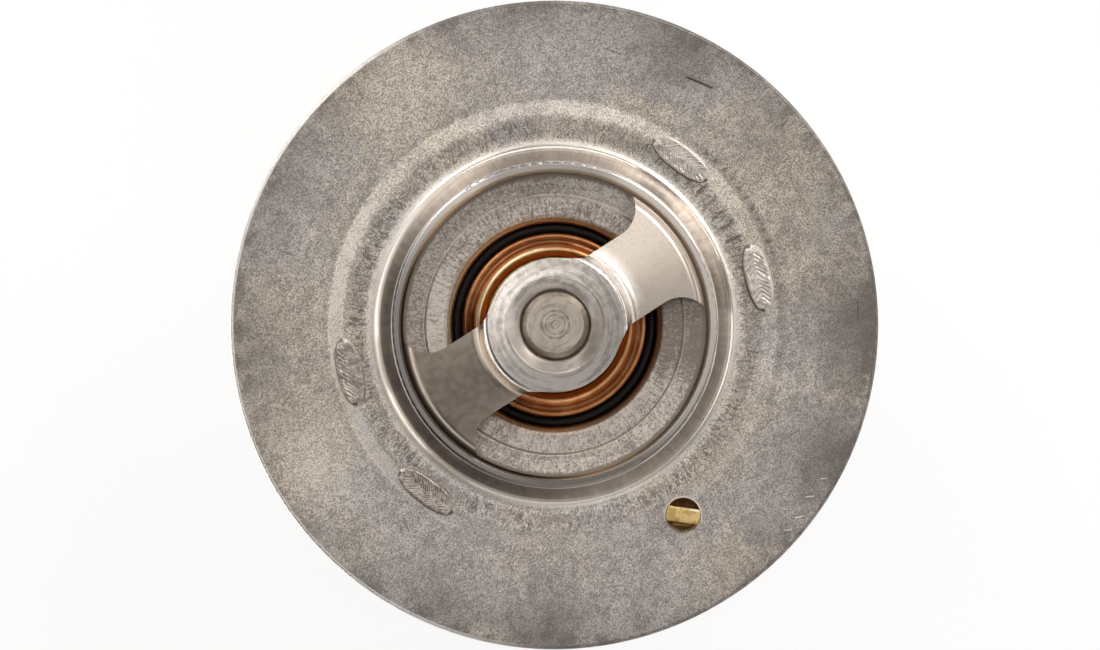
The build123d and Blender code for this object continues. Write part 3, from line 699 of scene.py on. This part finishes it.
cageLook = {
    "pale": (0.60, 0.565, 0.53),
    "dark": (0.33, 0.31, 0.29),
}


def cageSteel(look):
    f = Finish("cageSteel")
    cloud = f.noise(f.place, 0.35, 3, 0.6, 0.6)
    drawn = f.noise(f.polar(1.6, 0.22, 0.18), 1.0, 3, 0.6, 0.3)
    bands = f.noise(f.vector(f.x * 0.12, f.y * 0.12, f.z * 0.7), 1.0, 2, 0.5, 0.4)
    grain = f.noise(f.place, 3.4, 3, 0.6, 1.0)
    shade = f.ramp(drawn, 0.44, 0.68, 0, 0.34) * f.ramp(cloud, 0.40, 0.60, 0.3, 1)
    shade = shade + f.ramp(bands, 0.45, 0.65, 0, 0.18) + f.ramp(cloud, 0.48, 0.66, 0, 0.25)
    colour = f.mix(look["pale"], look["dark"], f.cap(shade + f.ramp(grain, 0.4, 0.7, 0, 0.30)))
    height = drawn * 0.6 + bands * 0.2 + grain * 0.6
    return f.surface(colour, 0.36 + f.ramp(grain, 0.4, 0.6, 0, 0.08), height, 0.010)


def stampedSteel(name, look):
    f = Finish(name)
    grain = f.noise(f.place, 3.0, 3, 0.6, 1.0)
    hoop = f.noise(f.polar(0.15, 1.6, 0.4), 1.0, 3, 0.55)
    shade = f.ramp(grain, 0.40, 0.70, 0, 0.5) + f.ramp(hoop, 0.45, 0.65, 0, 0.45)
    colour = f.mix(look["pale"], look["dark"], f.cap(shade))
    return f.surface(colour, look["roughness"] + f.ramp(hoop, 0.4, 0.6, 0, 0.08), grain + hoop * 0.8, 0.008)


def wireSteel(name, look):
    f = Finish(name)
    scale = f.noise(f.place, 1.4, 3, 0.6, 0.4)
    line = f.noise(f.polar(0.25, 6.0, 3.0), 1.0, 2, 0.5)
    shade = f.ramp(scale, 0.42, 0.66, 0, 0.6) + f.ramp(line, 0.5, 0.65, 0, 0.3)
    colour = f.mix(look["pale"], look["dark"], f.cap(shade))
    return f.surface(colour, 0.30 + f.ramp(scale, 0.4, 0.6, 0, 0.12), line + scale * 0.6, 0.008)


copperLook = {
    "ridgeHighlight": (1.0, 0.72, 0.44),
    "bright": (0.93, 0.47, 0.22),
    "tan": (0.60, 0.23, 0.085),
    "burntAndShade": (0.10, 0.025, 0.008),
    "strip": (0.42, 0.11, 0.025),
    # of the rolled rim, radii in mm from outside in
    "shoulder": (8.9, 9.5),
    "groove": 8.55,
    "ridge": 7.88,
    "mouth": 7.55,
    "lip": (7.2, 7.05),
    "rimFrom": 0.1,             # the rim lies above this height
}


def cupCopper(look):
    f = Finish("cupCopper")
    hoop = f.noise(f.polar(0.05, 0.6, 0.4), 1.0, 1, 0.5)
    cloud = f.noise(f.place, 0.45, 3, 0.6, 0.4)
    grain = f.noise(f.place, 4.0, 2, 0.6)
    rim = f.z > look["rimFrom"]
    # ridge is a painted highlight on the side of the rolled ridge that faces the lamps
    ridge = f.band(f.r, look["ridge"], 0.26, 0.12) * f.toward(138, 0.5, 0.9)
    # oxide in the groove, a painted shadow under the hub's edge, painted shade on one side, and darker
    # towards the gasket
    burntAndShade = f.band(f.r, look["groove"], 0.15, 0.22) * 0.7 + f.ramp(f.r, *look["lip"])
    burntAndShade = burntAndShade + f.toward(200, 0.8, 0.97) * 0.6 + f.ramp(f.r, *look["shoulder"]) * 0.6
    burntAndShade = f.cap(burntAndShade + f.ramp(grain, 0.6, 0.75, 0, 0.15))
    stained = f.ramp(cloud, 0.52, 0.72, 0, 0.45)
    colour = f.mix(look["bright"], look["tan"], f.ramp(cloud, 0.36, 0.60) * 0.65
                   + f.ramp(hoop, 0.46, 0.62, 0, 0.15))
    colour = f.mix(colour, look["ridgeHighlight"], rim * ridge)
    colour = f.mix(colour, look["strip"], rim * f.ramp(f.r, look["mouth"] + 0.06, look["mouth"] - 0.04))
    colour = f.mix(colour, look["burntAndShade"], f.maths("MAXIMUM", rim * burntAndShade, (1 - rim) * stained))
    height = hoop * 0.3 + grain * 0.15
    return f.surface(colour, 0.30 + f.ramp(hoop, 0.4, 0.6, 0, 0.06), height, 0.005)


def turnedBrass(name, look, centre=(0, 0)):
    f = Finish(name, centre)
    turned = f.noise(f.polar(0.2, 3.0, 2.0), 1.0, 3, 0.6)
    tarnish = f.noise(f.place, 0.9, 3, 0.6, 0.5)
    shade = f.ramp(tarnish, 0.42, 0.68, 0, 0.7) + f.ramp(turned, 0.48, 0.62, 0, 0.3)
    colour = f.mix(look["pale"], look["dark"], f.cap(shade))
    if "stem" in look:
        # painted shadow below the blade, then painted shade and painted highlight strokes
        brown, height = look["stem"]
        colour = f.mix(colour, brown, f.ramp(f.z, height + 0.3, height - 0.2, 0, 0.92))
        colour = f.mix(colour, look["dark"], strokes(f, look["shadeStrokes"]))
        glint = strokes(f, look["glints"]) * (f.z > look["glintsFrom"])
        colour = f.mix(colour, look["glint"], glint)
    return f.surface(colour, look["roughness"] + f.ramp(tarnish, 0.4, 0.6, 0, 0.1), turned, 0.008)


def rubber(name, look):
    f = Finish(name)
    grain = f.noise(f.place, 2.4, 3, 0.6)
    bloom = f.noise(f.polar(0.15, 1.5), 1.0, 3, 0.6)
    colour = f.mix(look["black"], look["dust"], f.ramp(bloom, 0.50, 0.70, 0, 0.6))
    return f.surface(colour, 0.38 + f.ramp(grain, 0.4, 0.6, 0, 0.12), grain, 0.012, metallic=0.0,
                     **{"Specular IOR Level": look["gloss"]})


def waxBody(look):
    f = Finish("waxBody")
    flake = f.noise(f.place, 1.8, 3, 0.65)
    colour = f.mix(look["pale"], look["flake"], f.ramp(flake, 0.5, 0.66))
    return f.surface(colour, 0.48 + f.ramp(flake, 0.4, 0.6, 0, 0.1), flake, 0.02, metallic=0.0)


springLook = {"pale": (0.60, 0.585, 0.565), "dark": (0.30, 0.285, 0.27)}
stemLook = {"pale": (0.64, 0.62, 0.60), "dark": (0.38, 0.36, 0.34), "roughness": 0.29}
bypassLook = {"pale": (0.60, 0.57, 0.54), "dark": (0.32, 0.30, 0.28), "roughness": 0.36}
clipLook = {"pale": (0.36, 0.36, 0.37), "dark": (0.16, 0.16, 0.17), "roughness": 0.30}
gasketLook = {"black": (0.006, 0.004, 0.003), "dust": (0.020, 0.014, 0.010), "gloss": 0.22}
bootLook = {"black": (0.022, 0.021, 0.021), "dust": (0.07, 0.066, 0.062), "gloss": 0.5}
waxLook = {"pale": (0.80, 0.72, 0.50), "flake": (0.62, 0.42, 0.22)}
guideLook = {"pale": (0.82, 0.64, 0.33), "dark": (0.50, 0.34, 0.14), "roughness": 0.28}
ventLook = {
    "pale": (0.95, 0.72, 0.32),
    "dark": (0.50, 0.31, 0.09),
    "roughness": 0.30,
    # painted shadow in the vent hole: the pin is near black below the blade
    "stem": ((0.09, 0.03, 0.012), 0.5),         # its colour, and the height it lies below
    # painted shade and painted highlight strokes on the blade, from the pin's middle
    "shadeStrokes": [(-0.60, -0.85, -36, 1.2, 0.14, 0.75), (-0.95, 0.72, -40, 0.5, 0.6, 0.55)],
    "glints": [(1.22, -0.19, -46, 0.66, 0.12, 1.0)],
    "glintsFrom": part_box("jiggle_pin")[1].z / mm - 0.25,
    "glint": (1, 0.93, 0.66),
}

cage = cageSteel(cageLook)
spring = wireSteel("springSteel", springLook)
piston = pistonSteel(pistonLook)
black = rubber("bootRubber", bootLook)
finishes = {
    "flange": flangeSteel(flangeLook),
    "bridge": bridgeSteel(bridgeLook),
    "lower_frame": cage,
    "piston": piston,
    "seal_washer": piston,
    "main_valve": valveSteel(valveLook),
    "valve_gasket": rubber("gasketRubber", gasketLook),
    "wax_cup": cupCopper(copperLook),
    "guide": turnedBrass("guideBrass", guideLook),
    "boot": black,
    "wiper_seal": black,
    "wax_charge": waxBody(waxLook),
    "main_spring": spring,
    "bypass_spring": spring,
    "bypass_stem": stampedSteel("stemSteel", stemLook),
    "bypass_valve": stampedSteel("bypassSteel", bypassLook),
    "bypass_clip": stampedSteel("clipSteel", clipLook),
    "jiggle_pin": turnedBrass("ventBrass", ventLook, ventCentre),
}
for node, material in finishes.items():
    paint(node, material)
print("finishes given:", len(finishes))


def coil(name, node, material, size):
    # a wire wound with one closed turn at each end, its ends ground flat
    low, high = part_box(node)
    sizes = {
        "Radius": (high.x - low.x) / 2 - size["wire"] / 2,
        "Wire": size["wire"],
        "Base": low.z,
        "Top": high.z,
        "Open turns": size["turns"],
        "Closed pitch": size["wire"] + size["gap"],
        "Points": size["points"],
        "Sides": size["sides"],
    }
    r = Recipe(name, sizes)
    g = r.given
    line = r.node("MeshLine", inputs={"Count": g["Points"]})
    share = r.node("InputIndex") / (g["Points"] - 1)
    turned = share * (g["Open turns"] + 2)
    sink = g["Wire"] * size["sink"]
    rise = g["Top"] - g["Base"] - 2 * sink - 2 * g["Closed pitch"]
    first = r.cap(turned)
    middle = r.clip(turned - 1, g["Open turns"])
    last = r.maths("MAXIMUM", turned - 1 - g["Open turns"], 0)
    height = g["Base"] + sink + (first + last) * g["Closed pitch"] + middle * rise / g["Open turns"]
    angle = turned * (2 * pi)
    spot = r.vector(g["Radius"] * r.maths("COSINE", angle), g["Radius"] * r.maths("SINE", angle), height)
    placed = r.node("SetPosition", inputs={"Geometry": line, "Position": spot})
    path = r.node("MeshToCurve", inputs={"Mesh": placed})
    ring = r.node("CurvePrimitiveCircle", inputs={"Resolution": g["Sides"], "Radius": g["Wire"] / 2})
    tube = r.node("CurveToMesh", inputs={"Curve": path, "Profile Curve": ring, "Fill Caps": True})
    x, y, z = r.split(r.node("InputPosition"))
    flat = r.maths("MAXIMUM", r.maths("MINIMUM", z, g["Top"]), g["Base"])
    ground = r.node("SetPosition", inputs={"Geometry": tube, "Position": r.vector(x, y, flat)})
    return r.piece(ground, material)


# gap is between the wires of a closed turn, turns are the open ones, and sink is the share of the wire
# that is ground off at each end
mainSpringSize = {"wire": 2.0 * mm, "gap": 0.05 * mm, "turns": 4, "sink": 0.15, "points": 361, "sides": 24}
bypassSpringSize = {"wire": 1.2 * mm, "gap": 0.05 * mm, "turns": 2, "sink": 0.15, "points": 241, "sides": 20}

mainSpring = coil("mainSpring", "main_spring", spring, mainSpringSize)
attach(mainSpring, "frame")
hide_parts("main_spring")
bypassSpring = coil("bypassSpring", "bypass_spring", spring, bypassSpringSize)
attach(bypassSpring, "capsule_unit")
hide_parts("bypass_spring")


def shorten(piece, node, joint):
    # reads the travel of the spring's joint and gives the spring a mesh of its own; its free end does not
    # follow the joint
    low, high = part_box(node)
    travel = next(row["range_m"][1] for row in frame["joints"] if row["name"] == joint)
    1 - travel / (high.z - low.z)
    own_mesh(piece)


shorten(mainSpring, "main_spring", "valve_lift")
shorten(bypassSpring, "bypass_spring", "bypass_slide")
print("springs made")


headSize = {
    "Length": 7.1 * mm,
    "Width": 2.75 * mm,
    "Circle": 21.6 * mm,
    "Spread": radians(19.8),    # half the angle between the two tabs of a leg
    "Foot": 1.25 * mm,
    "Crown": 0.012 * mm,        # above the frame's own head
    "Lip": 0.05 * mm,
    "Chamfer": 0.14 * mm,
    "Strike": 0.032 * mm,
    "Strikes": 15.0,            # hammer marks along a head
    "Slant": 0.36,              # of a mark, from the head's middle to its edge, over the head's half length
    "Crumple": 0.035 * mm,
    "Columns": 34,
    "Rows": 90,
    "Seed": 3,
}


def stakedHeads(size):
    r = Recipe("stakedHeads", {**size, "Top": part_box("lower_frame")[1].z})
    g = r.given
    block = r.node("MeshCube", inputs={0: (2, 2, 2), 1: g["Columns"], 2: g["Rows"], 3: 2})
    block = r.node("StoreNamedAttribute", {"data_type": "FLOAT_VECTOR", "domain": "POINT"},
                   {"Geometry": block, "Name": "along", "Value": r.node("InputPosition")})
    u, v, w = r.split(r.node("InputPosition"))
    narrow = r.maths("MAXIMUM", 1 - r.maths("ABSOLUTE", v) ** 2.5, 0) ** 0.5
    outline = r.vector(u * narrow * g["Width"] / 2, v * g["Length"] / 2, 0)
    lens = r.node("SetPosition", inputs={"Geometry": block, "Position": outline})
    line = r.node("MeshLine", inputs={"Count": 4})
    index = r.node("InputIndex")
    side = r.maths("FLOOR", index / 2)
    turn = side * pi + (r.maths("MODULO", index, 2) * 2 - 1) * g["Spread"]
    spot = r.vector(g["Circle"] * r.maths("COSINE", turn), g["Circle"] * r.maths("SINE", turn), 0)
    spots = r.node("SetPosition", inputs={"Geometry": line, "Position": spot})
    heads = r.node("InstanceOnPoints", inputs={"Points": spots, "Instance": lens,
                                               "Rotation": r.vector(0, 0, turn)})
    heads = r.node("RealizeInstances", inputs={"Geometry": heads})
    u, v, w = r.split(r.node("InputNamedAttribute", {"data_type": "FLOAT_VECTOR"}, {"Name": "along"}))
    across = r.maths("ABSOLUTE", u)
    edge = r.maths("MAXIMUM", across, r.maths("ABSOLUTE", v))
    x, y, z = r.split(r.node("InputPosition"))
    place = r.vector(x / mm, y / mm, g["Seed"])
    crumple = r.noise(place, 1.1, 2, 0.5, 0.6)
    strike = r.maths("SINE", (v + across * g["Slant"] + crumple * 0.25) * g["Strikes"] * pi)
    lip = r.ramp(edge, 0.55, 0.80) * r.ramp(edge, 1.0, 0.84)
    inside = r.ramp(edge, 0.90, 0.70)
    top = g["Top"] + g["Crown"] + lip * g["Lip"] * r.ramp(crumple, 0.3, 0.6, 0.4, 1)
    top = top + inside * (strike * 0.5 + 0.5) * g["Strike"]
    top = top + inside * r.ramp(crumple, 0.35, 0.65) * g["Crumple"]
    top = top - r.ramp(edge, 0.86, 1.0) * g["Chamfer"]
    height = g["Foot"] + (top - g["Foot"]) * (w > 0)
    struck = r.node("SetPosition", inputs={"Geometry": heads, "Position": r.vector(x, y, height)})
    closed = r.node("MergeByDistance", inputs={"Geometry": struck, "Distance": 0.002 * mm})
    return r.piece(closed, headSteel(headLook))


headLook = {
    "pale": (0.95, 0.88, 0.81),
    "dark": (0.18, 0.14, 0.11),
    "lines": 27,                # fine slanting lines along a head
}


def headSteel(look):
    f = Finish("headSteel")
    u, v, w = f.split(f.node("Attribute", {"attribute_name": "along"}, output=1))
    edge = f.maths("MAXIMUM", f.maths("ABSOLUTE", u), f.maths("ABSOLUTE", v))
    grain = f.noise(f.place, 5.0, 2, 0.6, 0.8)
    cloud = f.noise(f.place, 1.1, 2, 0.6)
    left = f.x < 0
    facing = u * (1 - 2 * left)             # above 0 on the half that looks to the view's right
    outline = f.ramp(edge, 0.88, 0.93)
    slanted = v + f.maths("ABSOLUTE", u) * headSize["Slant"] + cloud * 0.12
    line = f.maths("SINE", slanted * (look["lines"] * pi))
    # left * 0.30 is painted shade on the two heads on the left
    shade = f.ramp(grain, 0.38, 0.62, 0.25, 0) + f.ramp(cloud, 0.46, 0.62, 0, 0.2) + left * 0.30
    shade = shade + f.ramp(line, -0.4, 0.7, 0, 0.34)
    # at the outline, a painted highlight on the edge facing the view's right and painted shade on the edge
    # facing away
    shade = shade + outline * f.ramp(facing, 0.2, -0.3, -0.5, 0.9)
    colour = f.mix(look["pale"], look["dark"], f.clip(shade))
    return f.surface(colour, 0.285 + f.ramp(grain, 0.4, 0.6, 0, 0.06), grain - line * 0.7, 0.008)


heads = stakedHeads(headSize)
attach(heads, "frame")
print("staked heads made")
